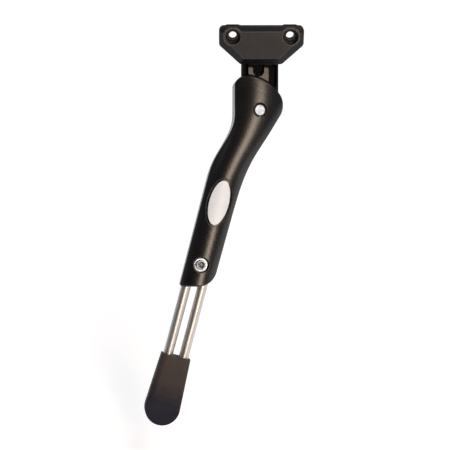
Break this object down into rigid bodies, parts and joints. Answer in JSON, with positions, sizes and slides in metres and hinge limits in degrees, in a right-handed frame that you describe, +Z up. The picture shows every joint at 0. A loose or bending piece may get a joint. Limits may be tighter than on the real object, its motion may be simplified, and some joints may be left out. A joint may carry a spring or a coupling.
{
  "type": "bicycle kickstand",
  "caption": "Rear-mount bicycle kickstand: a bolted plate carries a swinging curved leg whose tubes slide in and out to set the height of a rubber foot.",
  "frame": {"origin": "centre of the two bolt holes, on the mounting face of the pads behind the plate", "axes": "+Y out of the mounting face into the bicycle frame, +X along the hole line, +Z up, with the leg folded out below and leaning away from the frame"},
  "size_m": [0.1117, 0.1236, 0.2556],
  "materials": {
    "black_casting": "matte black powder coat on die-cast aluminium",
    "black_shell": "satin black glass-filled nylon",
    "black_rubber": "matte black moulded rubber",
    "stainless_tube": "bright drawn stainless",
    "bright_steel": "turned steel face",
    "zinc_steel": "zinc-plated steel",
    "dark_steel": "oiled spring steel",
    "bronze": "sintered bronze",
    "nylon": "black nylon",
    "white_badge": "blank glossy white oval"
  },
  "bodies": {
    "bracket": {"mount_bracket": "black_casting", "pivot_bush": "bronze"},
    "leg": {"front_shell": "black_shell", "rear_shell": "black_shell", "front_thrust_washer": "nylon", "rear_thrust_washer": "nylon", "pivot_pin": "bright_steel", "pivot_snap_ring": "dark_steel", "detent_leaf": "dark_steel", "hip_screw": "zinc_steel", "badge": "white_badge", "clamp_nut": "zinc_steel"},
    "clamp": {"clamp_screw": "zinc_steel", "clamp_washer": "zinc_steel"},
    "extension": {"left_tube": "stainless_tube", "right_tube": "stainless_tube", "tube_bar": "nylon", "foot": "black_rubber"}
  },
  "joints": [
    {"name": "leg_swing", "type": "hinge", "parent": "bracket", "child": "leg", "pos_m": [-0.0022, -0.0171, -0.0517], "axis": [0.1392, -0.8975, 0.4185], "range_deg": [0, 105], "deforming": ["detent_leaf"]},
    {"name": "length_slide", "type": "slide", "parent": "leg", "child": "extension", "axis": [-0.2563, -0.4409, -0.8602], "range_m": [-0.031, 0.031]},
    {"name": "clamp_turn", "type": "hinge", "parent": "leg", "child": "clamp", "pos_m": [-0.04302, -0.06812, -0.14754], "axis": [0.1392, -0.8975, 0.4185], "continuous": true}
  ]
}
